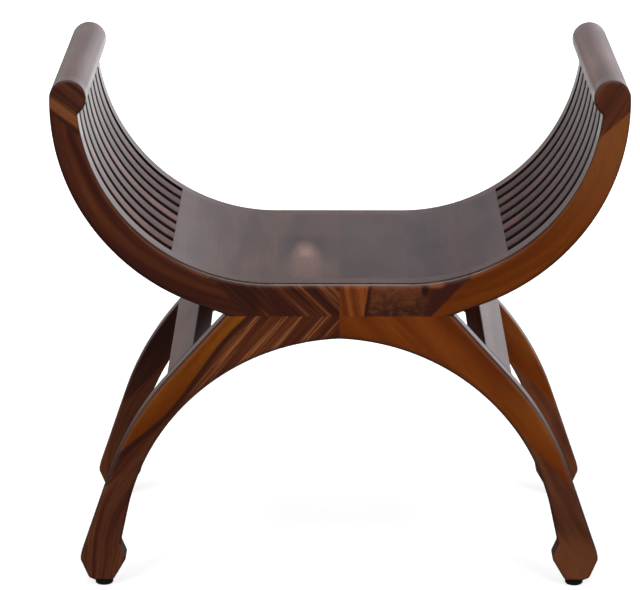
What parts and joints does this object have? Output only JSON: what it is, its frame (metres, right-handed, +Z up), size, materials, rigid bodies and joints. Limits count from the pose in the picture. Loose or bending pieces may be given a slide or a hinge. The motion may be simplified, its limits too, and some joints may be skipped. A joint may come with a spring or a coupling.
{
  "type": "scooped bench",
  "caption": "Low wooden bench with a scooped, slatted seat between two round rails, on four legs that meet in arches.",
  "frame": {"origin": "on the floor, under the middle of the seat", "axes": "+Z up, X along the seat from one rail to the other, Y through the depth of the bench, its front facing -Y"},
  "size_m": [0.702, 0.36, 0.6519],
  "materials": {
    "red_sheesham": "satin lacquer",
    "dark_sheesham": "satin lacquer",
    "glide_plastic": "matte"
  },
  "bodies": {
    "root": {"back_left_arm_head": "dark_sheesham", "back_left_arm_lower": "red_sheesham", "back_left_arm_middle": "red_sheesham", "back_left_glide": "glide_plastic", "back_left_leg_lower": "dark_sheesham", "back_left_leg_upper": "red_sheesham", "back_loose_tongue": "red_sheesham", "back_right_arm_head": "dark_sheesham", "back_right_arm_lower": "red_sheesham", "back_right_arm_middle": "red_sheesham", "back_right_glide": "glide_plastic", "back_right_leg_lower": "dark_sheesham", "back_right_leg_upper": "red_sheesham", "front_left_arm_head": "dark_sheesham", "front_left_arm_lower": "red_sheesham", "front_left_arm_middle": "red_sheesham", "front_left_glide": "glide_plastic", "front_left_leg_lower": "dark_sheesham", "front_left_leg_upper": "red_sheesham", "front_loose_tongue": "red_sheesham", "front_right_arm_head": "dark_sheesham", "front_right_arm_lower": "red_sheesham", "front_right_arm_middle": "red_sheesham", "front_right_glide": "glide_plastic", "front_right_leg_lower": "dark_sheesham", "front_right_leg_upper": "red_sheesham", "left_rail": "dark_sheesham", "left_seat_stave_1": "red_sheesham", "left_seat_stave_2": "red_sheesham", "left_seat_stave_3": "red_sheesham", "left_slat_1": "dark_sheesham", "left_slat_2": "dark_sheesham", "left_slat_3": "dark_sheesham", "left_slat_4": "dark_sheesham", "left_slat_5": "dark_sheesham", "left_slat_6": "dark_sheesham", "left_slat_7": "dark_sheesham", "left_stretcher": "red_sheesham", "right_rail": "dark_sheesham", "right_seat_stave_1": "red_sheesham", "right_seat_stave_2": "red_sheesham", "right_seat_stave_3": "red_sheesham", "right_slat_1": "dark_sheesham", "right_slat_2": "dark_sheesham", "right_slat_3": "dark_sheesham", "right_slat_4": "dark_sheesham", "right_slat_5": "dark_sheesham", "right_slat_6": "dark_sheesham", "right_slat_7": "dark_sheesham", "right_stretcher": "red_sheesham"}
  },
  "joints": []
}
